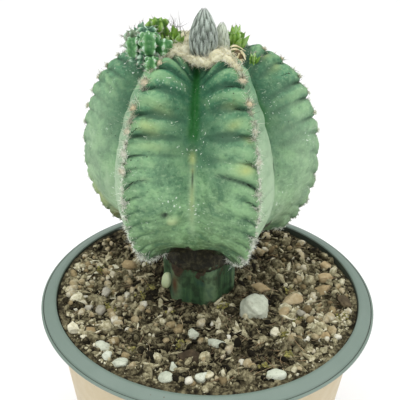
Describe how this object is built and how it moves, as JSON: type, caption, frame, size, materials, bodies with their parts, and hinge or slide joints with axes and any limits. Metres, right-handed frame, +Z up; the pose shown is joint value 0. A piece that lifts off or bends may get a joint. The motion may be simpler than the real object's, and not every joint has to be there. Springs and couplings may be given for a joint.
{
  "type": "potted grafted bishop's cap cactus",
  "caption": "Ribbed bishop's cap cactus with tortoiseshell tubercles, buds and young heads on its crown, grafted on a short stock in a round plastic pot of gritty mix.",
  "frame": {"origin": "centre of the pot's flat underside", "axes": "+Z up along the pot's axis, -Y towards the side the picture shows, +X to the picture's right"},
  "size_m": [0.12, 0.12, 0.1952],
  "materials": {
    "bark": "dark fibrous bark",
    "cactus_skin": "waxy teal to grey-green skin with yellow patches, scars and white flecks",
    "crown_wool": "dense tan felt",
    "dried_petals": "papery cream petals",
    "bud_hair": "silver-grey hair over dark scales",
    "pale_bud": "pale grey-green downy skin",
    "grey_gravel": "matt grey stone",
    "tan_gravel": "matt tan stone",
    "dark_head": "dark green skin",
    "young_head": "mid-green skin with white felt edges",
    "felted_head": "green skin under pale grey felt",
    "bright_head": "bright yellow-green skin",
    "pot_plastic": "semi-matt thermoformed plastic, terracotta outside, grey-green lip and inside",
    "pumice": "rough porous white stone",
    "stock_skin": "smooth blue-green succulent skin with pale ridges",
    "stock_shoot": "smooth pale green skin",
    "potting_mix": "rough dark brown peat with grit and fibres"
  },
  "bodies": {
    "root": {"bark_chip_1": "bark", "bark_chip_2": "bark", "cactus_body": "cactus_skin", "crown_wool": "crown_wool", "crown_wool_front": "crown_wool", "dried_flower": "dried_petals", "flower_bud": "bud_hair", "flower_bud_pale": "pale_bud", "gravel_grey_1": "grey_gravel", "gravel_grey_2": "grey_gravel", "gravel_grey_3": "grey_gravel", "gravel_grey_4": "grey_gravel", "gravel_grey_5": "grey_gravel", "gravel_tan_1": "tan_gravel", "gravel_tan_2": "tan_gravel", "gravel_tan_3": "tan_gravel", "gravel_tan_4": "tan_gravel", "gravel_tan_5": "tan_gravel", "gravel_tan_6": "tan_gravel", "gravel_tan_7": "tan_gravel", "gravel_tan_8": "tan_gravel", "gravel_tan_9": "tan_gravel", "offset_left_base": "dark_head", "offset_left_block": "young_head", "offset_left_felted": "felted_head", "offset_left_front": "young_head", "offset_left_low": "young_head", "offset_left_middle": "dark_head", "offset_left_point": "dark_head", "offset_left_round": "bright_head", "offset_left_side": "young_head", "offset_left_spiky": "bright_head", "offset_right": "bright_head", "offset_right_low": "bright_head", "pot": "pot_plastic", "pumice_1": "pumice", "pumice_10": "pumice", "pumice_2": "pumice", "pumice_3": "pumice", "pumice_4": "pumice", "pumice_5": "pumice", "pumice_6": "pumice", "pumice_7": "pumice", "pumice_8": "pumice", "pumice_9": "pumice", "rootstock": "stock_skin", "rootstock_bud": "stock_shoot", "soil": "potting_mix"}
  },
  "joints": []
}
